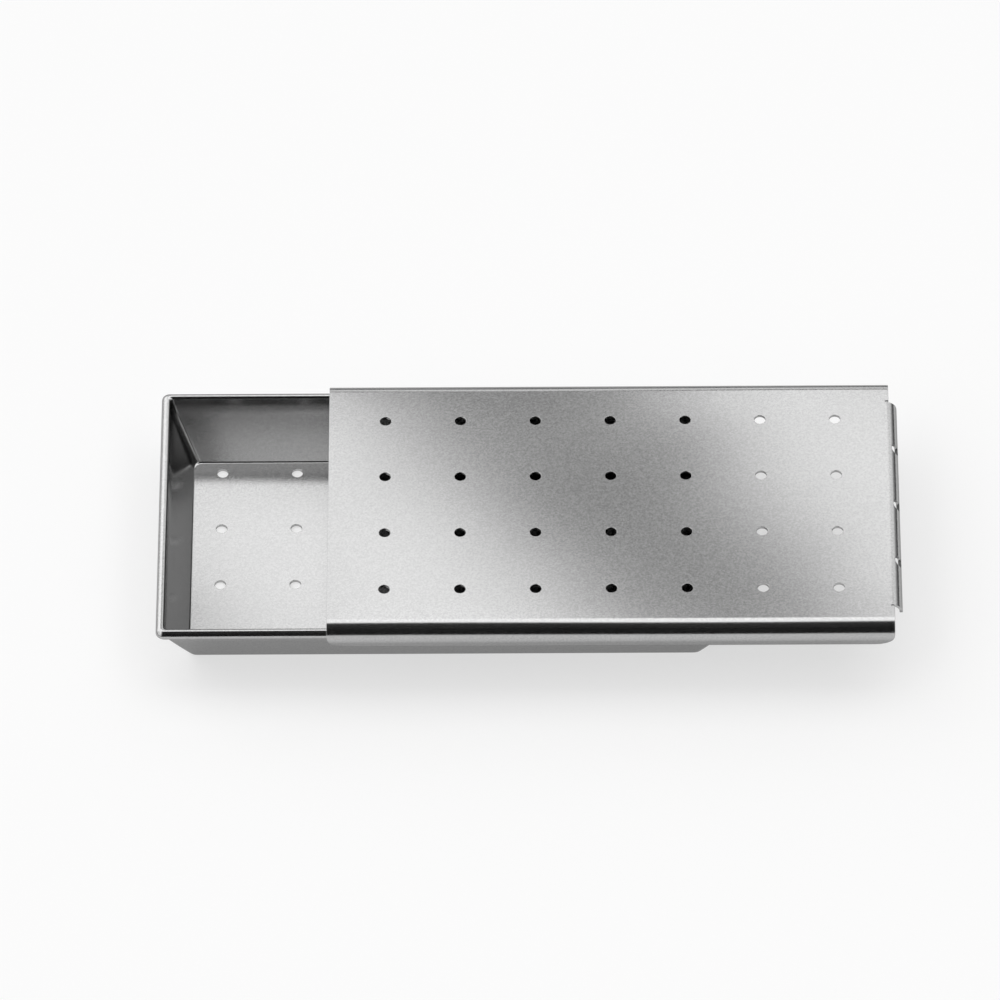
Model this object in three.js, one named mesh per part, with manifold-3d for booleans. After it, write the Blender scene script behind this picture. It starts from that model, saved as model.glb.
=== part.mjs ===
// A needle sterilization case folded from thin stainless sheet: a perforated tray with flared
// walls and a hemmed rim, and a perforated cover whose folded edges slide along that rim.
// Millimetres, +Z up. X runs along the case, and the cover is drawn towards +X to open it.
// The origin is the middle of the tray's underside.
import * as THREE from 'three';
import { mergeVertices } from 'three/addons/utils/BufferGeometryUtils.js';
import Module from 'manifold-3d';

const wasm = await Module();
wasm.setup();

// The sheet and its perforation, the same in both pieces
const sheet = 0.8;
const holeDiameter = 3;
const holePitch = 20;
const holeLand = 2;

// The tray: over its rim, across its floor between the walls' inner faces, and at its rim's nose
const trayLength = 152.2;
const trayWidth = 86.8;
const noseHeight = 17.2;
const floorLength = 135.6;
const floorWidth = 67.8;
const floorBend = 1;

// Its corners in plan: on the walls at the floor and at the nose, and what the rim adds there
const floorCorner = 2.2;
const rimCorner = 1;
const cornerSpreadShare = 0.4;

// The rim's section: a tight shoulder, a sloping crest and a nose, hemmed underneath
const shoulderRadius = 1;
const crestRadius = 2.4;
const noseRadius = 1.25;
const hemLength = 0.5;
const crestAngle = THREE.MathUtils.degToRad(28);
const noseAngle = THREE.MathUtils.degToRad(52);

// The cover: its open end lies short of the rim, and its side folds turn in under the rim
const openEndSetback = 1.5;
const coverMargin = 15.1;
const sideBend = 3.2;
const sideLip = 2.4;
const sideCorner = 5;
const sideTurn = THREE.MathUtils.degToRad(110);

// The cover's end flange, cut free at both ends, and the single row of holes in its bend
const flangeWidth = 72.4;
const flangeInset = 0.9;
const flangeSlot = 0.5;
const flangeBend = 2.3;
const flangeLip = 2.9;
const flangeCorner = 4.5;
const flangeTurn = THREE.MathUtils.degToRad(90);
const flangeHoleAngle = THREE.MathUtils.degToRad(57);

// How the cover fits the rim, and how far it is drawn open
const sideClearance = 0.3;
const seatClearance = 0.3;
const coverDraw = 43.55;

// One overrun serves every cut and join
const overrun = 2;

const cornerSteps = 6;
const foldSteps = 6;
const rimSteps = 5;
const noseSteps = 8;
const lipSteps = 7;
const holeSides = 20;

const columns = gridCount(floorLength);
const rows = gridCount(floorWidth);
const coverLength = trayLength - openEndSetback + seatClearance + sheet;
const coverWidth = trayWidth + 2 * (sideClearance + sheet);

// How many holes fit along a floor at the pitch, with a land left beside the last
function gridCount(length) {
  return Math.floor((length - holeDiameter - 2 * holeLand) / holePitch) + 1;
}

// The last hole's distance from the middle of a row with this many holes
function halfRow(count) {
  return (count - 1) / 2 * holePitch;
}

// A closed body through rings of equally many points, with a flat face at both ends
function loft(rings) {
  const count = rings[0].length;
  const last = (rings.length - 1) * count;
  const index = [];
  for (let ring = 0; ring < last; ring += count) {
    for (let j = 0; j < count; j += 1) {
      const a = ring + j;
      const b = ring + (j + 1) % count;
      index.push(a, b, b + count, a, b + count, a + count);
    }
  }
  for (let j = 1; j + 1 < count; j += 1) {
    index.push(0, j + 1, j, last, last + j, last + j + 1);
  }
  const geometry = new THREE.BufferGeometry();
  geometry.setFromPoints(rings.flat());
  geometry.setIndex(index);
  return geometry;
}

// Negative when the faces of a closed geometry point in
function signedVolume(geometry) {
  const position = geometry.attributes.position;
  const index = geometry.index.array;
  const [a, b, c] = [new THREE.Vector3(), new THREE.Vector3(), new THREE.Vector3()];
  let sum = 0;
  for (let i = 0; i < index.length; i += 3) {
    a.fromBufferAttribute(position, index[i]);
    b.fromBufferAttribute(position, index[i + 1]);
    c.fromBufferAttribute(position, index[i + 2]);
    sum += a.dot(b.cross(c));
  }
  return sum;
}

// The geometry as a solid that can be cut and joined, with its faces turned outwards
function solid(geometry) {
  geometry.deleteAttribute('normal');
  geometry.deleteAttribute('uv');
  const merged = mergeVertices(geometry);
  const triVerts = Uint32Array.from(merged.index.array);
  if (signedVolume(merged) < 0) {
    triVerts.reverse();
  }
  const vertProperties = Float32Array.from(merged.attributes.position.array);
  return new wasm.Manifold(new wasm.Mesh({ numProp: 3, vertProperties, triVerts }));
}

function geometryOf(body) {
  const mesh = body.getMesh();
  const geometry = new THREE.BufferGeometry();
  geometry.setAttribute('position', new THREE.Float32BufferAttribute(mesh.vertProperties, 3));
  geometry.setIndex(Array.from(mesh.triVerts));
  geometry.computeVertexNormals();
  return geometry;
}

// Punches the grid of holes down through a sheet whose middle lies at height z
function punchGrid(body, z) {
  const punch = new THREE.CylinderGeometry(
    holeDiameter / 2, holeDiameter / 2, sheet + 2 * overrun, holeSides);
  punch.rotateX(Math.PI / 2);
  const tool = solid(punch);
  let cut = body;
  for (let column = 0; column < columns; column += 1) {
    for (let row = 0; row < rows; row += 1) {
      const x = column * holePitch - halfRow(columns);
      const y = row * holePitch - halfRow(rows);
      cut = cut.subtract(tool.translate([x, y, z]));
    }
  }
  return cut;
}

// Points on an arc, at angles from +Z towards the outside
function arc(centre, radius, from, to, steps) {
  return Array.from({ length: steps + 1 }, (_, i) => {
    const angle = THREE.MathUtils.lerp(from, to, i / steps);
    return new THREE.Vector2(
      centre.x + radius * Math.sin(angle),
      centre.y + radius * Math.cos(angle));
  });
}

// Where the centre of an arc lies, seen from the centre of the smaller arc that it runs into
function tangentCentre(centre, radius, larger, angle) {
  return new THREE.Vector2(
    centre.x - (larger - radius) * Math.sin(angle),
    centre.y - (larger - radius) * Math.cos(angle));
}

// The wall leans so that its inner face runs from the floor's edge into the shoulder
function wallLean(floorHalf, shoulder) {
  const across = shoulder.x - floorHalf;
  const up = shoulder.y - sheet;
  return Math.atan2(across, up) - Math.asin(shoulderRadius / Math.hypot(across, up));
}

// One wall's section: up its inner face, over the rim, round the hem, and back down outside
function wallSection(floorHalf, rimHalf) {
  const nose = new THREE.Vector2(rimHalf - noseRadius, noseHeight);
  const crest = tangentCentre(nose, noseRadius, crestRadius, noseAngle);
  const shoulder = tangentCentre(crest, crestRadius, shoulderRadius, crestAngle);
  const lean = wallLean(floorHalf, shoulder);
  const turn = Math.PI / 2 - lean;
  const bend = new THREE.Vector2(floorHalf - floorBend * Math.tan(turn / 2), sheet + floorBend);
  const hemEdge = nose.x - hemLength;
  const hemBase = nose.y - noseRadius;
  const points = [
    ...arc(bend, floorBend, Math.PI, Math.PI - turn, foldSteps),
    ...arc(shoulder, shoulderRadius, -turn, crestAngle, rimSteps),
    ...arc(crest, crestRadius, crestAngle, noseAngle, rimSteps).slice(1),
    ...arc(nose, noseRadius, noseAngle, Math.PI, noseSteps).slice(1),
    new THREE.Vector2(hemEdge, hemBase),
    new THREE.Vector2(hemEdge, hemBase + sheet),
    ...arc(nose, noseRadius - sheet, Math.PI, noseAngle, noseSteps),
    ...arc(crest, crestRadius - sheet, noseAngle, crestAngle, rimSteps).slice(1),
    ...arc(shoulder, shoulderRadius - sheet, crestAngle, -turn, rimSteps).slice(1),
    ...arc(bend, floorBend + sheet, Math.PI - turn, Math.PI, foldSteps),
  ];
  return points.map((point) => {
    const face = floorHalf + (point.y - sheet) * Math.tan(lean);
    return { out: point.x, z: point.y, spread: Math.max(0, point.x - face) };
  });
}

// The corner's radius in plan at one point of the two walls' sections
function cornerRadius(end, long) {
  const height = (end.z + long.z) / 2;
  const spread = (end.spread + long.spread) / 2;
  return THREE.MathUtils.lerp(floorCorner, rimCorner, height / noseHeight) + cornerSpreadShare * spread;
}

// The ring that one point of the two walls' sections draws round the tray
function trayRing(end, long) {
  const radius = cornerRadius(end, long);
  const ring = [];
  for (let corner = 0; corner < 4; corner += 1) {
    const signX = corner % 3 === 0 ? 1 : -1;
    const signY = corner < 2 ? 1 : -1;
    for (let i = 0; i <= cornerSteps; i += 1) {
      const share = corner % 2 === 0 ? i / cornerSteps : 1 - i / cornerSteps;
      const angle = share * Math.PI / 2;
      ring.push(new THREE.Vector3(
        signX * (end.out - radius * (1 - Math.cos(angle))),
        signY * (long.out - radius * (1 - Math.sin(angle))),
        THREE.MathUtils.lerp(end.z, long.z, Math.sin(angle) ** 2)));
    }
  }
  return ring;
}

function trayGeometry() {
  const ends = wallSection(floorLength / 2, trayLength / 2);
  const longs = wallSection(floorWidth / 2, trayWidth / 2);
  const rings = ends.map((end, i) => trayRing(end, longs[i]));
  return geometryOf(punchGrid(solid(loft(rings)), sheet / 2));
}

// Stations along a fold: how far the outer and the inner face lie out and down from the
// bend's start, and how far the rounded corner draws the fold's ends in
function foldStations(innerRadius, turn, lip, corner) {
  const radius = innerRadius + sheet;
  const bendRun = radius * turn;
  const fullRun = bendRun + lip;
  const runs = Array.from({ length: foldSteps * 2 + 1 }, (_, i) => bendRun * i / (foldSteps * 2));
  for (let i = 1; i <= lipSteps; i += 1) {
    runs.push(bendRun + lip * Math.sin(i / lipSteps * Math.PI / 2));
  }
  return runs.map((run) => {
    const angle = Math.min(turn, run / radius);
    const straight = Math.max(0, run - bendRun);
    const face = (distance) => ({
      out: distance * Math.sin(angle) + straight * Math.cos(angle),
      down: radius - distance * Math.cos(angle) + straight * Math.sin(angle),
    });
    const past = Math.max(0, run - fullRun + corner);
    const draw = corner - Math.sqrt(Math.max(0, corner ** 2 - past ** 2));
    return { outer: face(radius), inner: face(innerRadius), draw };
  });
}

// The cover's top with a fold down each side, between its open end and its closed end
function channelBody(left, right) {
  const middle = coverWidth / 2 - sideBend - sheet;
  const across = (side) => ({ outer, inner, draw }) => [
    new THREE.Vector3(left + draw, side * (middle + outer.out), -outer.down),
    new THREE.Vector3(right - draw, side * (middle + outer.out), -outer.down),
    new THREE.Vector3(right - draw, side * (middle + inner.out), -inner.down),
    new THREE.Vector3(left + draw, side * (middle + inner.out), -inner.down),
  ];
  const stations = foldStations(sideBend, sideTurn, sideLip, sideCorner);
  return solid(loft([
    ...stations.toReversed().map(across(-1)),
    ...stations.map(across(1)),
  ]));
}

// Takes out of the top's closed end what the flange's bend replaces, and the slots beside it
function notchTop(body, right) {
  const length = flangeInset + overrun;
  const box = new THREE.BoxGeometry(length, flangeWidth + 2 * flangeSlot, sheet + 2 * overrun);
  return body.subtract(solid(box.translate(right - flangeInset + length / 2, 0, -sheet / 2)));
}

// The flange folded down from its bend line, and rooted in the top by one overrun
function flangeBody(bendLine) {
  const root = { outer: { out: -overrun, down: 0 }, inner: { out: -overrun, down: sheet }, draw: 0 };
  const stations = foldStations(flangeBend, flangeTurn, flangeLip, flangeCorner);
  return solid(loft([root, ...stations].map(({ outer, inner, draw }) => [
    new THREE.Vector3(bendLine + outer.out, draw - flangeWidth / 2, -outer.down),
    new THREE.Vector3(bendLine + outer.out, flangeWidth / 2 - draw, -outer.down),
    new THREE.Vector3(bendLine + inner.out, flangeWidth / 2 - draw, -inner.down),
    new THREE.Vector3(bendLine + inner.out, draw - flangeWidth / 2, -inner.down),
  ])));
}

// One hole between every two rows of the grid, square to the flange's bend
function punchFlange(body, bendLine) {
  const radius = flangeBend + sheet;
  const reach = radius + overrun;
  const punch = new THREE.CylinderGeometry(holeDiameter / 2, holeDiameter / 2, reach, holeSides);
  punch.rotateX(Math.PI / 2);
  punch.translate(0, 0, reach / 2);
  punch.rotateY(flangeHoleAngle);
  const tool = solid(punch);
  let cut = body;
  for (let row = 1; row < rows; row += 1) {
    const y = (row - 1) * holePitch - halfRow(rows - 1);
    cut = cut.subtract(tool.translate([bendLine, y, -radius]));
  }
  return cut;
}

// The cover about the middle of its grid of holes, with its top face at zero height
function coverGeometry() {
  const left = -halfRow(columns) - coverMargin;
  const bendLine = left + coverLength - flangeBend - sheet;
  const right = bendLine + flangeInset;
  const body = notchTop(channelBody(left, right), right).add(flangeBody(bendLine));
  return geometryOf(punchFlange(punchGrid(body, -sheet / 2), bendLine));
}

// The cover's top face stands where its side bends rest on the rim's nose
function coverHeight() {
  const reach = sideBend - noseRadius - seatClearance;
  const across = sideBend - noseRadius - sideClearance;
  const lift = Math.sqrt(Math.max(0, reach ** 2 - across ** 2));
  return noseHeight - lift + sideBend + sheet;
}

// The grid's place along X when the flange stands against the rim's end
function closedPlace() {
  return trayLength / 2 + seatClearance + sheet - (coverLength - coverMargin - halfRow(columns));
}

function steelMesh(name, geometry) {
  const material = new THREE.MeshStandardMaterial({ color: '#b9bbbd', roughness: 0.35, metalness: 1 });
  const mesh = new THREE.Mesh(geometry, material);
  mesh.name = name;
  return mesh;
}

const sterilizationCase = new THREE.Group();
const tray = steelMesh('tray', trayGeometry());
const cover = steelMesh('cover', coverGeometry());
cover.position.set(closedPlace() + coverDraw, 0, coverHeight());
sterilizationCase.add(tray, cover);

export default sterilizationCase;
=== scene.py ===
import math

import bmesh
import bpy
from mathutils import Matrix, Vector


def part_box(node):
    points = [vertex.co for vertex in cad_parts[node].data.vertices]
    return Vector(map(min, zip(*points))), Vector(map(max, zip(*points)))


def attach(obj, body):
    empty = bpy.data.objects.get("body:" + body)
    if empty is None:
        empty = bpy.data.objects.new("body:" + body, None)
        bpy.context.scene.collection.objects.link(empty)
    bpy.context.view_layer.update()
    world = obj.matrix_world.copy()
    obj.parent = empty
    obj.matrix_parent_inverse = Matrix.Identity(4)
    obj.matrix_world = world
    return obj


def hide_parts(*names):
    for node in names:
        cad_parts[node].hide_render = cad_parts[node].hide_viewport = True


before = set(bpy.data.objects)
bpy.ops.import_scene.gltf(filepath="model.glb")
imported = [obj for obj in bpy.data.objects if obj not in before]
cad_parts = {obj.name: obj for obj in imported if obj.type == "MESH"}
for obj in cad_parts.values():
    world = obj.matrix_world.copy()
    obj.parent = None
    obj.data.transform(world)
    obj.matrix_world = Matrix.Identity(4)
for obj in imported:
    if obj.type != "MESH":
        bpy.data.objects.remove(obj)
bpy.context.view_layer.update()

millimetre = 0.001
touching = 1e-4  # mm between two places that count as one

# The sheet and its holes, in millimetres, the same in both pieces
sheetSizes = {
    "thickness": 0.8,
    "hole": 3.0,
    "pitch": 20.0,
    "columns": 7,
    "rows": 4,
    "sidePoints": 12,  # points along each side of a hole's cell
    "edgeBreak": 0.1,  # the punched and sheared edges are slightly rounded
    "edgeSteps": 3,
    "edgeAngle": 50.0,  # degrees that the surface turns at such an edge, at least
}


def linearColour(hexColour):
    values = [int(hexColour[i:i + 2], 16) / 255 for i in (1, 3, 5)]
    return [v / 12.92 if v <= 0.04045 else ((v + 0.055) / 1.055) ** 2.4 for v in values] + [1.0]


def addNode(tree, kind, inputs=None, **settings):
    node = tree.nodes.new(kind)
    for name, value in settings.items():
        setattr(node, name, value)
    for name, value in (inputs or {}).items():
        if isinstance(value, bpy.types.NodeSocket):
            tree.links.new(value, node.inputs[name])
        else:
            node.inputs[name].default_value = value
    return node


def addObject(name, data):
    added = bpy.data.objects.new(name, data)
    bpy.context.scene.collection.objects.link(added)
    return added


# The middle of a point, an edge or a face
def middleOf(element):
    verts = getattr(element, "verts", [element])
    return [sum(v.co[i] for v in verts) / len(verts) for i in range(3)]


# The points, edges and faces go in the order of their places, so that each run gives the same
# mesh: bmesh keeps what it extrudes in an order that changes from run to run.
def meshFrom(name, bm):
    for elements in (bm.verts, bm.edges, bm.faces):
        for index, element in enumerate(sorted(elements, key=middleOf)):
            element.index = index
        elements.sort()
    mesh = bpy.data.meshes.new(name)
    bm.to_mesh(mesh)
    bm.free()
    return mesh


def gridMiddles(count):
    return [(i - (count - 1) / 2) * sheetSizes["pitch"] for i in range(count)]


# A flat plate in millimetres between the given ends, with a grid of round holes in it
def perforatedPlate(xEnds, yEnds, height):
    columns = sheetSizes["columns"]
    rows = sheetSizes["rows"]
    half = sheetSizes["pitch"] / 2
    xLines = [xEnds[0]] + [x + half for x in gridMiddles(columns)[:-1]] + [xEnds[1]]
    yLines = [yEnds[0]] + [y + half for y in gridMiddles(rows)[:-1]] + [yEnds[1]]
    bm = bmesh.new()
    bmesh.ops.create_grid(bm, x_segments=columns, y_segments=rows, size=1.0)
    for vert in bm.verts:
        column = round((vert.co.x + 1) / 2 * columns)
        row = round((vert.co.y + 1) / 2 * rows)
        vert.co = (xLines[column], yLines[row], height)
    bmesh.ops.bisect_edges(bm, edges=bm.edges[:], cuts=sheetSizes["sidePoints"] - 1)
    punched = bmesh.ops.extrude_discrete_faces(bm, faces=bm.faces[:])["faces"]
    for face in punched:
        roundHole(face)
    bmesh.ops.delete(bm, geom=punched, context="FACES_ONLY")
    return bm


# Draws a cell's inner outline into a circle round the grid point that lies in the cell
def roundHole(face):
    pitch = sheetSizes["pitch"]
    middle = face.calc_center_bounds()
    columnShift = (sheetSizes["columns"] - 1) / 2
    rowShift = (sheetSizes["rows"] - 1) / 2
    centreX = (round(middle.x / pitch + columnShift) - columnShift) * pitch
    centreY = (round(middle.y / pitch + rowShift) - rowShift) * pitch
    verts = [loop.vert for loop in face.loops]
    corner = max(range(len(verts)), key=lambda i: verts[i].co.x + verts[i].co.y)
    direction = 1 if face.normal.z > 0 else -1
    radius = sheetSizes["hole"] / 2
    for i, vert in enumerate(verts):
        angle = math.pi / 4 + direction * 2 * math.pi * (i - corner) / len(verts)
        vert.co.x = centreX + radius * math.cos(angle)
        vert.co.y = centreY + radius * math.sin(angle)


# The edges that run between the given points
def edgesOf(verts):
    chosen = set(verts)
    around = dict.fromkeys(e for v in verts for e in v.link_edges)
    return [e for e in around if set(e.verts) <= chosen]


# Extrudes a row of edges once and returns the new row
def extrudeRow(bm, edges):
    made = bmesh.ops.extrude_edge_only(bm, edges=edges)["geom"]
    verts = [item for item in made if isinstance(item, bmesh.types.BMVert)]
    rowEdges = [item for item in made if isinstance(item, bmesh.types.BMEdge)]
    return verts, [e for e in rowEdges if set(e.verts) <= set(verts)]


# Makes the open skin a sheet: its faces turned up, its place, its thickness, its punches and
# its broken edges
def finishSheet(name, bm, slideX, liftZ, punches=None):
    bmesh.ops.recalc_face_normals(bm, faces=bm.faces[:])
    flat = max(bm.faces, key=lambda f: abs(f.normal.z) * f.calc_area())
    if flat.normal.z < 0:
        bmesh.ops.reverse_faces(bm, faces=bm.faces[:])
    bmesh.ops.translate(bm, verts=bm.verts[:], vec=(slideX, 0, liftZ))
    bmesh.ops.scale(bm, verts=bm.verts[:], vec=[millimetre] * 3)
    piece = addObject(name, meshFrom(name, bm))
    wall = piece.modifiers.new("wall", "SOLIDIFY")
    wall.thickness = sheetSizes["thickness"] * millimetre
    wall.offset = -1
    wall.use_even_offset = True
    wall.use_quality_normals = True
    if punches:
        cut = piece.modifiers.new("punch", "BOOLEAN")
        cut.operation = "DIFFERENCE"
        cut.solver = "EXACT"
        cut.object = punches
    edge = piece.modifiers.new("edge", "BEVEL")
    edge.width = sheetSizes["edgeBreak"] * millimetre
    edge.segments = sheetSizes["edgeSteps"]
    edge.limit_method = "ANGLE"
    edge.angle_limit = math.radians(sheetSizes["edgeAngle"])
    edge.use_clamp_overlap = False
    even = piece.modifiers.new("even", "WEIGHTED_NORMAL")
    even.keep_sharp = True
    piece.data.shade_smooth()
    applyModifiers(piece)
    if punches:
        bpy.data.objects.remove(punches)
    return piece


def applyModifiers(piece):
    graph = bpy.context.evaluated_depsgraph_get()
    finished = bpy.data.meshes.new_from_object(piece.evaluated_get(graph))
    piece.modifiers.clear()
    finished.name = piece.name
    piece.data = finished


# The tray, in millimetres and degrees. Its length and width over the rim come from the frame.
traySizes = {
    "floorLength": 135.6,  # between the walls' inner faces
    "floorWidth": 67.8,
    "floorBend": 0.6,  # radii of the section from the floor up, over the rim and down again
    "shoulder": 0.9,
    "crest": 2.4,
    "nose": 1.25,
    "crestAngle": 28,  # from straight up, where one radius passes into the next
    "noseAngle": 52,
    "noseHeight": 17.2,  # the middle of the nose's radius over the underside
    "hem": 0.5,  # straight end of the sheet, turned in under the nose
    "floorCorner": 2.2,  # radii of the corners seen from above, at the floor and at the nose
    "rimCorner": 1.0,
    "cornerSpreadShare": 0.4,  # how much a corner's radius grows with the rim's overhang
    "plateMargin": 1.6,  # floor outside the perforated plate
    "cornerPoints": 5,  # of the plate's border, from the end of the straight to the corner's middle
    "wallBulge": 0.75,  # how far the walls bow out between the floor and the rim
    "bulgeAtShare": 0.8,  # of the wall's height, where they bow out most
    "bulgeSoftness": 0.4,  # 0 is straight up to there, 1 is an even curve
    "wallSteps": 12,
    "floorBendSteps": 10,
    "shoulderSteps": 14,
    "crestSteps": 10,
    "noseSteps": 18,
}


# Angles in the walls' section are from straight up, and positive outwards.
def heading(angle):
    return Vector((math.sin(angle), math.cos(angle)))


def arcPoints(centre, radius, start, end, steps):
    angles = [start + (end - start) * i / steps for i in range(steps + 1)]
    return [Vector((centre.x + radius * math.sin(a), centre.y + radius * math.cos(a))) for a in angles]


# The upper face of one wall's section, from the floor's bend to the hem's raw edge, each point
# with how far it stands out past the wall's slope
def wallSection(floorHalf, rimHalf):
    sizes = traySizes
    floorTop = sheetSizes["thickness"]
    crestAngle = math.radians(sizes["crestAngle"])
    noseAngle = math.radians(sizes["noseAngle"])
    nose = Vector((rimHalf - sizes["nose"], sizes["noseHeight"]))
    crest = nose - (sizes["crest"] - sizes["nose"]) * heading(noseAngle)
    shoulder = crest - (sizes["shoulder"] - sizes["crest"]) * heading(crestAngle)
    reach = shoulder - Vector((floorHalf, floorTop))
    lean = math.atan2(reach.x, reach.y) - math.asin(sizes["shoulder"] / reach.length)
    turn = math.pi / 2 - lean
    bend = Vector((floorHalf - sizes["floorBend"] * math.tan(turn / 2), floorTop + sizes["floorBend"]))
    foot = arcPoints(bend, sizes["floorBend"], math.pi, math.pi - turn, sizes["floorBendSteps"])
    rolled = arcPoints(shoulder, sizes["shoulder"], -turn, crestAngle, sizes["shoulderSteps"])
    outward = Vector((math.cos(lean), -math.sin(lean)))
    top = sizes["bulgeAtShare"]
    softness = sizes["bulgeSoftness"]
    wall = []
    for step in range(1, sizes["wallSteps"]):
        share = step / sizes["wallSteps"]
        rise = share / top if share < top else (1 - share) / (1 - top)
        bulge = sizes["wallBulge"] * (rise * (1 - softness) + softness * rise * (2 - rise))
        wall.append(foot[-1].lerp(rolled[0], share) + outward * bulge)
    points = foot + wall + rolled
    points += arcPoints(crest, sizes["crest"], crestAngle, noseAngle, sizes["crestSteps"])[1:]
    points += arcPoints(nose, sizes["nose"], noseAngle, math.pi, sizes["noseSteps"])[1:]
    points.append(points[-1] - Vector((sizes["hem"], 0)))
    spreads = [max(0.0, p.x - floorHalf - (p.y - floorTop) * math.tan(lean)) for p in points]
    return list(zip(points, spreads))


# Where a border point of the plate goes on a ring with rounded corners
def ringPlace(shares, end, long, radius):
    angle = math.pi / 4 * (1 + shares["long"] - shares["end"])
    x = end.x - radius * (1 - math.cos(angle))
    y = long.x - radius * (1 - math.sin(angle))
    z = end.y + (long.y - end.y) * math.sin(angle) ** 2
    return Vector((x * shares["x"], y * shares["y"], z))


# How a border point follows the rings: its share along each side, and round the corner
def borderShares(point, halfX, halfY, straightX, straightY):
    offEnd = abs(abs(point.x) - halfX)
    offLong = abs(abs(point.y) - halfY)
    shares = {
        "x": max(-1.0, min(1.0, point.x / straightX)),
        "y": max(-1.0, min(1.0, point.y / straightY)),
        "long": 0.0,
        "end": 0.0,
    }
    if offEnd > touching and offLong < offEnd:
        shares["long"] = min(1.0, (halfX - abs(point.x)) / (halfX - straightX))
    elif offLong > touching:
        shares["end"] = min(1.0, (halfY - abs(point.y)) / (halfY - straightY))
    return shares


# The plate's border is swept out and up through the wall's section, one ring for each point.
def buildTray():
    sizes = traySizes
    low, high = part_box("tray")
    rimHalfX = (high.x - low.x) / 2 / millimetre
    rimHalfY = (high.y - low.y) / 2 / millimetre
    halfX = sizes["floorLength"] / 2 - sizes["plateMargin"]
    halfY = sizes["floorWidth"] / 2 - sizes["plateMargin"]
    bm = perforatedPlate((-halfX, halfX), (-halfY, halfY), sheetSizes["thickness"])
    border = [e for e in bm.edges if len(e.link_faces) == 1 and onBorder(e, halfX, halfY)]
    cellEnd = halfX - gridMiddles(sheetSizes["columns"])[-1] + sheetSizes["pitch"] / 2
    cellSide = halfY - gridMiddles(sheetSizes["rows"])[-1] + sheetSizes["pitch"] / 2
    cornerShare = sizes["cornerPoints"] / sheetSizes["sidePoints"]
    straightX = halfX - cornerShare * cellEnd
    straightY = halfY - cornerShare * cellSide
    follow = {}
    for vert in dict.fromkeys(v for e in border for v in e.verts):
        follow[vert] = borderShares(vert.co, halfX, halfY, straightX, straightY)
    ends = wallSection(sizes["floorLength"] / 2, rimHalfX)
    longs = wallSection(sizes["floorWidth"] / 2, rimHalfY)
    for (end, endSpread), (long, longSpread) in zip(ends, longs):
        climb = (end.y + long.y) / 2 / sizes["noseHeight"]
        radius = sizes["floorCorner"] + (sizes["rimCorner"] - sizes["floorCorner"]) * climb
        radius += sizes["cornerSpreadShare"] * (endSpread + longSpread) / 2
        places = {tuple(vert.co): shares for vert, shares in follow.items()}
        verts, border = extrudeRow(bm, border)
        follow = {vert: places[tuple(vert.co)] for vert in verts}
        for vert, shares in follow.items():
            vert.co = ringPlace(shares, end, long, radius)
    return finishSheet("trayBody", bm, 0, 0)


def onBorder(edge, halfX, halfY):
    return all(
        abs(abs(v.co.x) - halfX) < touching or abs(abs(v.co.y) - halfY) < touching
        for v in edge.verts)


# The cover, in millimetres and degrees. Its length and width over the folds come from the frame.
coverSizes = {
    "margin": 15.1,  # from the open end to the first row of holes
    "sideFold": {"bend": 4.0, "turn": 110, "lip": 2.4, "corner": 5.0},  # bends are outside radii
    "flangeFold": {"bend": 3.1, "turn": 90, "lip": 2.9, "corner": 4.5},
    "flangeWidth": 72.4,
    "flangeInset": 0.9,  # how far the sheet beside the flange runs on past its bend line
    "flangeSlot": 0.5,  # cut beside the flange, so that it can fold
    "flangeHoleAngle": 57,  # from straight up, towards the end
    "punchSides": 48,
    "bendSteps": 22,
    "lipSteps": 10,
}


# Folds a row of edges down round a bend, then on into a lip with rounded corners. The row runs
# along the axis, straight above the bend's centre.
def foldEdge(bm, edges, fold, centre, axis, way):
    along = "XY".index(axis)
    turn = way * math.radians(fold["turn"])
    bendRun = fold["bend"] * abs(turn)
    fullRun = bendRun + fold["lip"]
    bendSteps = coverSizes["bendSteps"]
    lipSteps = coverSizes["lipSteps"]
    bendRuns = [bendRun * i / bendSteps for i in range(1, bendSteps + 1)]
    lipRuns = [bendRun + fold["lip"] * math.sin(math.pi / 2 * i / lipSteps) for i in range(1, lipSteps + 1)]
    ends = [v.co[along] for e in edges for v in e.verts]
    middle = (min(ends) + max(ends)) / 2
    half = (max(ends) - min(ends)) / 2
    tangent = Matrix.Rotation(turn + way * math.pi / 2, 3, axis) @ Vector((0, 0, 1))
    lastRun = 0.0
    lastHalf = half
    for run in bendRuns + lipRuns:
        verts, edges = extrudeRow(bm, edges)
        if run in bendRuns:
            step = Matrix.Rotation(turn * (run - lastRun) / bendRun, 3, axis)
            bmesh.ops.rotate(bm, verts=verts, cent=centre, matrix=step)
        else:
            bmesh.ops.translate(bm, verts=verts, vec=tangent * (run - lastRun))
        past = max(0.0, run - fullRun + fold["corner"])
        drawn = half - fold["corner"] + math.sqrt(max(0.0, fold["corner"] ** 2 - past ** 2))
        for vert in verts:
            vert.co[along] = middle + (vert.co[along] - middle) * drawn / lastHalf
        lastRun = run
        lastHalf = drawn


# The pins that punch the holes through the flange's bend
def flangePunches(bendLine, top):
    bm = bmesh.new()
    bend = coverSizes["flangeFold"]["bend"]
    radius = sheetSizes["hole"] / 2
    tilt = Matrix.Rotation(math.radians(coverSizes["flangeHoleAngle"]), 4, "Y")
    for y in gridMiddles(sheetSizes["rows"] - 1):
        place = Matrix.Translation((bendLine, y, top - bend))
        bmesh.ops.create_cone(
            bm, cap_ends=True, segments=coverSizes["punchSides"], depth=2 * bend,
            radius1=radius, radius2=radius, matrix=place @ tilt @ Matrix.Translation((0, 0, bend)))
    bmesh.ops.scale(bm, verts=bm.verts[:], vec=[millimetre] * 3)
    return addObject("flangePunches", meshFrom("flangePunches", bm))


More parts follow.
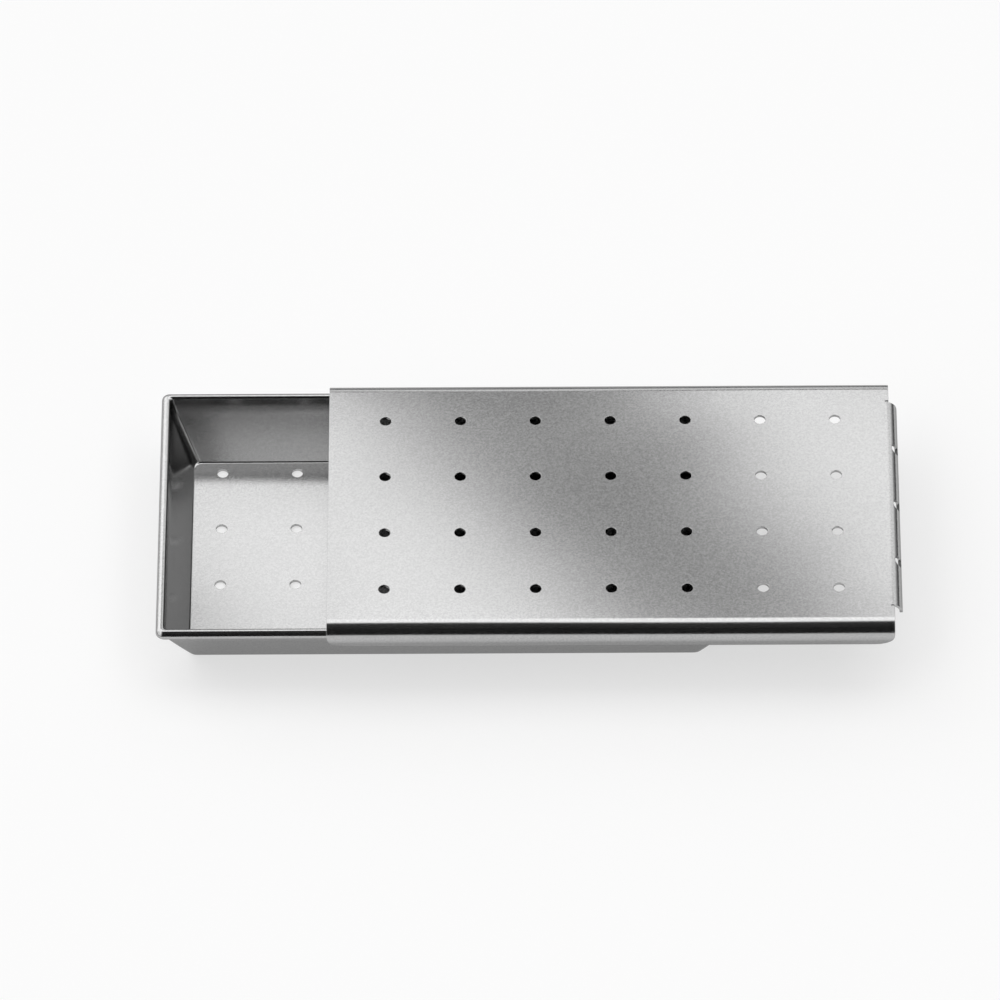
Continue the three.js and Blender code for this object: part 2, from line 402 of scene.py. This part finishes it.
def buildCover():
    sizes = coverSizes
    side = sizes["sideFold"]
    flange = sizes["flangeFold"]
    low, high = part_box("cover")
    left = -gridMiddles(sheetSizes["columns"])[-1] - sizes["margin"]
    slideX = low.x / millimetre - left
    top = high.z / millimetre
    bendLine = high.x / millimetre - slideX - flange["bend"]
    flatHalf = (high.y - low.y) / 2 / millimetre - side["bend"]
    bm = perforatedPlate((left, bendLine), (-flatHalf, flatHalf), 0.0)
    flangeHalf = sizes["flangeWidth"] / 2
    slotHalf = flangeHalf + sizes["flangeSlot"]
    endVerts = [v for v in bm.verts if abs(v.co.x - bendLine) < touching]
    for way in (-1, 1):
        for y in (flangeHalf, slotHalf):
            nearest = min(endVerts, key=lambda v: abs(v.co.y - way * y))
            nearest.co.y = way * y
    flangeEdges = edgesOf([v for v in endVerts if abs(v.co.y) < flangeHalf + touching])
    shoulderEdges = edgesOf([v for v in endVerts if abs(v.co.y) > slotHalf - touching])
    shoulderVerts = extrudeRow(bm, shoulderEdges)[0]
    bmesh.ops.translate(bm, verts=shoulderVerts, vec=(sizes["flangeInset"], 0, 0))
    for way in (-1, 1):
        sideEdges = edgesOf([v for v in bm.verts if abs(v.co.y - way * flatHalf) < touching])
        foldEdge(bm, sideEdges, side, (0, way * flatHalf, -side["bend"]), "X", -way)
    foldEdge(bm, flangeEdges, flange, (bendLine, 0, -flange["bend"]), "Y", 1)
    return finishSheet("coverSheet", bm, slideX, top, flangePunches(bendLine + slideX, top))


# Satin stainless sheet, drawn or folded and then matt-blasted: the eye gets soft but clear
# reflections, an even fine grain, and a slow wave where the sheet isn't quite flat.
steelFinish = {
    "dullColour": "#adadad",  # the grain takes the steel from one to the other
    "brightColour": "#b9b9b9",
    "edgeTint": "#b8b8b8",  # the steel is darker where it is seen at a slant
    "roughness": 0.2,
    "roughnessSpreadShare": 0.15,  # more and less, with the grain
    "grain": 0.5,  # mm, drawn a little coarser than real blasting so that it shows
    "grainDetail": 2.0,  # how many finer grains lie on it
    "grainHeight": 0.007,  # mm
    "grainStrength": 0.5,
    "speckEdges": (0.35, 0.65),  # of the grain's height, where the dull ends and the bright begins
    "dents": 38.0,  # mm across the unevenness left by folding
    "dentDetail": 0.0,
    "dentHeight": 0.25,  # mm
    "bowLength": 140.0,  # mm from crest to crest of the bow across each sheet
    "bowTurn": 35.0,  # the way it runs, in degrees from +X
    "bowHeight": 2.7,  # mm
    "valley": 38.0,  # mm from the origin that way, where the sheet leans back most
}


def satinSteel():
    finish = steelFinish
    material = bpy.data.materials.new("satinStainlessSheet")
    material.use_nodes = True
    tree = material.node_tree
    shader = tree.nodes["Principled BSDF"]
    place = addNode(tree, "ShaderNodeTexCoord").outputs["Object"]
    grain = addNode(tree, "ShaderNodeTexNoise", {
        "Vector": place, "Scale": 1 / (finish["grain"] * millimetre), "Detail": finish["grainDetail"]})
    dents = addNode(tree, "ShaderNodeTexNoise", {
        "Vector": place, "Scale": 1 / (finish["dents"] * millimetre), "Detail": finish["dentDetail"]})
    across = addNode(tree, "ShaderNodeMapping", {
        "Vector": place, "Location": (-finish["valley"] * millimetre, 0, 0),
        "Rotation": (0, 0, -math.radians(finish["bowTurn"]))})
    waveRun = 2 * math.pi / 20  # metres from crest to crest of a Wave Texture at scale 1
    halfwayDown = 1.5 * math.pi
    bow = addNode(tree, "ShaderNodeTexWave", {
        "Vector": across.outputs["Vector"], "Phase Offset": halfwayDown,
        "Scale": waveRun / (finish["bowLength"] * millimetre)})
    bowBump = addNode(tree, "ShaderNodeBump", {
        "Height": bow.outputs["Fac"], "Strength": 1.0, "Distance": finish["bowHeight"] * millimetre})
    dentBump = addNode(tree, "ShaderNodeBump", {
        "Height": dents.outputs["Fac"], "Strength": 1.0,
        "Distance": finish["dentHeight"] * millimetre, "Normal": bowBump.outputs["Normal"]})
    grainBump = addNode(tree, "ShaderNodeBump", {
        "Height": grain.outputs["Fac"], "Strength": finish["grainStrength"],
        "Distance": finish["grainHeight"] * millimetre, "Normal": dentBump.outputs["Normal"]})
    rough = addNode(tree, "ShaderNodeMapRange", {
        "Value": grain.outputs["Fac"],
        "To Min": finish["roughness"] * (1 - finish["roughnessSpreadShare"]),
        "To Max": finish["roughness"] * (1 + finish["roughnessSpreadShare"])})
    speck = addNode(tree, "ShaderNodeMapRange", {
        "Value": grain.outputs["Fac"], "From Min": finish["speckEdges"][0],
        "From Max": finish["speckEdges"][1]})
    tone = addNode(tree, "ShaderNodeMix", {
        "Factor": speck.outputs["Result"], 6: linearColour(finish["dullColour"]),
        7: linearColour(finish["brightColour"])}, data_type="RGBA")  # 6, 7 and 2 are its colours
    tree.links.new(tone.outputs[2], shader.inputs["Base Color"])
    shader.inputs["Specular Tint"].default_value = linearColour(finish["edgeTint"])
    shader.inputs["Metallic"].default_value = 1.0
    tree.links.new(rough.outputs["Result"], shader.inputs["Roughness"])
    tree.links.new(grainBump.outputs["Normal"], shader.inputs["Normal"])
    return material


# The camera, in millimetres, degrees and pixels, fitted to the grid of holes in the photograph
cameraPlace = {
    "azimuth": 0.50,
    "elevation": 47.96,
    "roll": -0.65,
    "distance": 2980.0,  # from the middle of the cover's grid of holes
    "aside": -29.42,
    "above": 1.28,
    "focalPixels": 11226.0,
    "imagePixels": 1000.0,
    "sensorWidth": 36.0,
    "nearest": 100.0,  # what it can see
    "farthest": 50000.0,
}


def addCamera(coverMiddle):
    azimuth = math.radians(cameraPlace["azimuth"])
    elevation = math.radians(cameraPlace["elevation"])
    roll = math.radians(cameraPlace["roll"])
    back = Vector((
        math.sin(azimuth) * math.cos(elevation),
        -math.cos(azimuth) * math.cos(elevation),
        math.sin(elevation)))
    right = Vector((math.cos(azimuth), math.sin(azimuth), 0))
    up = back.cross(right)
    turned = Matrix.Rotation(roll, 3, back)
    place = coverMiddle + millimetre * (
        back * cameraPlace["distance"] + right * cameraPlace["aside"] + up * cameraPlace["above"])
    data = bpy.data.cameras.new("photoCamera")
    data.sensor_width = cameraPlace["sensorWidth"]
    data.lens = cameraPlace["sensorWidth"] * cameraPlace["focalPixels"] / cameraPlace["imagePixels"]
    data.clip_start = cameraPlace["nearest"] * millimetre
    data.clip_end = cameraPlace["farthest"] * millimetre
    camera = addObject("photoCamera", data)
    axes = Matrix((turned @ right, turned @ up, back)).transposed()
    camera.matrix_world = Matrix.Translation(place) @ axes.to_4x4()
    bpy.context.scene.camera = camera


# The floor and the light. A light or a shade changes between its two edges, which are the
# upward, sideways or forward parts of a direction of length 1.
studio = {
    "floorHalf": 6.0,  # metres
    "floorDrop": 0.05,  # mm under the tray
    "floorColour": "#a6a6a6",
    "floorGlow": 0.6,  # added for the eye and for reflections, up to white
    "white": "#ffffff",
    "roof": 1.88,  # the big soft light overhead
    "roofEdges": (0.685, 0.775),
    "room": 1.2,  # the walls of the room, up to the roof light
    "horizon": 0.1,  # the foot of these walls
    "roomEdges": (0.12, 0.36),
    "roomRight": 0.35,  # the share of the room's light that is left at the right
    "roomRightEdges": (0.56, 0.68),
    "gapEdges": (0.58, 0.66),  # the dark gap behind, under the roof light
    "gapAsideEdges": (0.15, 0.4),
    "side": 1.95,  # a smaller soft light low behind, to the left
    "sideDirection": (-0.62, 0.62, 0.48),
    "sideEdges": (0.86, 0.95),  # cosines of the angle to that direction
    "stripAsideEdges": (0.32, 0.5),  # the dark strip from overhead to the front
    "stripFrontEdges": (-0.15, 0.01),
    "strip": 0.01,  # the share of the light that is left in it
}


# Matt studio paper: the eye gets a plain white ground that keeps the case's soft shadow.
def addFloor():
    bm = bmesh.new()
    bmesh.ops.create_grid(bm, x_segments=2, y_segments=2, size=studio["floorHalf"])
    bmesh.ops.translate(bm, verts=bm.verts[:], vec=(0, 0, -studio["floorDrop"] * millimetre))
    floor = addObject("floor", meshFrom("floor", bm))
    material = bpy.data.materials.new("paleStudioPaper")
    material.use_nodes = True
    tree = material.node_tree
    shader = tree.nodes["Principled BSDF"]
    shader.inputs["Base Color"].default_value = linearColour(studio["floorColour"])
    shader.inputs["Roughness"].default_value = 1.0
    shader.inputs["Specular IOR Level"].default_value = 0.0  # no gloss at all
    path = addNode(tree, "ShaderNodeLightPath").outputs
    seen = addNode(tree, "ShaderNodeMath", {0: path["Is Camera Ray"], 1: path["Is Glossy Ray"]},
                   operation="MAXIMUM").outputs[0]
    seenToo = addNode(tree, "ShaderNodeMath", {0: seen, 1: path["Is Transmission Ray"]},
                      operation="MAXIMUM").outputs[0]
    glow = addNode(tree, "ShaderNodeMath", {0: seenToo, 1: studio["floorGlow"]},
                   operation="MULTIPLY").outputs[0]
    shader.inputs["Emission Color"].default_value = linearColour(studio["white"])
    tree.links.new(glow, shader.inputs["Emission Strength"])
    floor.data.materials.append(material)


# The soft dome: brightest overhead, less bright round the sides, and dark near the floor, in a
# gap behind and in a strip to the front
def addDome():
    world = bpy.data.worlds.new("studioDome")
    world.use_nodes = True
    bpy.context.scene.world = world
    tree = world.node_tree
    mathKind = "ShaderNodeMath"
    rampKind = "ShaderNodeMapRange"
    soft = {"interpolation_type": "SMOOTHSTEP"}
    direction = addNode(tree, "ShaderNodeTexCoord").outputs["Generated"]
    axes = addNode(tree, "ShaderNodeSeparateXYZ", {"Vector": direction}).outputs
    aside = addNode(tree, mathKind, {0: axes["X"]}, operation="ABSOLUTE").outputs[0]
    forward = addNode(tree, mathKind, {0: axes["Y"], 1: -1.0}, operation="MULTIPLY").outputs[0]
    room = addNode(tree, rampKind, {
        "Value": axes["Z"], "From Min": studio["roomEdges"][0], "From Max": studio["roomEdges"][1],
        "To Min": studio["horizon"], "To Max": studio["room"]}, **soft).outputs["Result"]
    toRight = addNode(tree, rampKind, {
        "Value": axes["X"], "From Min": studio["roomRightEdges"][0],
        "From Max": studio["roomRightEdges"][1], "To Min": 1.0,
        "To Max": studio["roomRight"]}, **soft).outputs["Result"]
    gapAside = addNode(tree, rampKind, {
        "Value": aside, "From Min": studio["gapAsideEdges"][0],
        "From Max": studio["gapAsideEdges"][1], "To Min": 1.0, "To Max": 0.0}, **soft).outputs["Result"]
    gap = addNode(tree, rampKind, {
        "Value": axes["Z"], "From Min": studio["gapEdges"][0], "From Max": studio["gapEdges"][1],
        "To Min": 0.0, "To Max": gapAside}, **soft).outputs["Result"]
    under = addNode(tree, mathKind, {0: 1.0, 1: gap}, operation="SUBTRACT").outputs[0]
    shaded = addNode(tree, mathKind, {0: room, 1: toRight}, operation="MULTIPLY").outputs[0]
    low = addNode(tree, mathKind, {0: shaded, 1: under}, operation="MULTIPLY").outputs[0]
    roof = addNode(tree, rampKind, {
        "Value": axes["Z"], "From Min": studio["roofEdges"][0], "From Max": studio["roofEdges"][1],
        "To Min": low, "To Max": studio["roof"]}, **soft).outputs["Result"]
    toSide = addNode(tree, "ShaderNodeVectorMath", {
        0: direction, 1: Vector(studio["sideDirection"]).normalized()}, operation="DOT_PRODUCT")
    side = addNode(tree, rampKind, {
        "Value": toSide.outputs["Value"], "From Min": studio["sideEdges"][0],
        "From Max": studio["sideEdges"][1], "To Min": 0.0,
        "To Max": studio["side"]}, **soft).outputs["Result"]
    light = addNode(tree, mathKind, {0: roof, 1: side}, operation="MAXIMUM").outputs[0]
    narrow = addNode(tree, rampKind, {
        "Value": aside, "From Min": studio["stripAsideEdges"][0],
        "From Max": studio["stripAsideEdges"][1], "To Min": 1.0, "To Max": 0.0}, **soft).outputs["Result"]
    ahead = addNode(tree, rampKind, {
        "Value": forward, "From Min": studio["stripFrontEdges"][0],
        "From Max": studio["stripFrontEdges"][1], "To Min": 0.0, "To Max": 1.0}, **soft).outputs["Result"]
    strip = addNode(tree, mathKind, {0: narrow, 1: ahead}, operation="MULTIPLY").outputs[0]
    shade = addNode(tree, mathKind, {0: strip, 1: studio["strip"] - 1.0, 2: 1.0},
                    operation="MULTIPLY_ADD").outputs[0]
    strength = addNode(tree, mathKind, {0: light, 1: shade}, operation="MULTIPLY").outputs[0]
    background = tree.nodes["Background"]
    background.inputs["Color"].default_value = linearColour(studio["white"])
    tree.links.new(strength, background.inputs["Strength"])


bpy.context.scene.view_settings.view_transform = "Standard"

coverLow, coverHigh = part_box("cover")
gridEnd = gridMiddles(sheetSizes["columns"])[-1]
coverMiddle = Vector((coverLow.x + (coverSizes["margin"] + gridEnd) * millimetre, 0, coverHigh.z))
addCamera(coverMiddle)
addFloor()
addDome()
print("camera and studio ready")

tray = buildTray()
print("tray made", len(tray.data.polygons), "faces")
cover = buildCover()
print("cover made", len(cover.data.polygons), "faces")
steel = satinSteel()
for piece, node in ((tray, "tray"), (cover, "cover")):
    piece.data.materials.clear()
    piece.data.materials.append(steel)
    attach(piece, node)
    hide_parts(node)
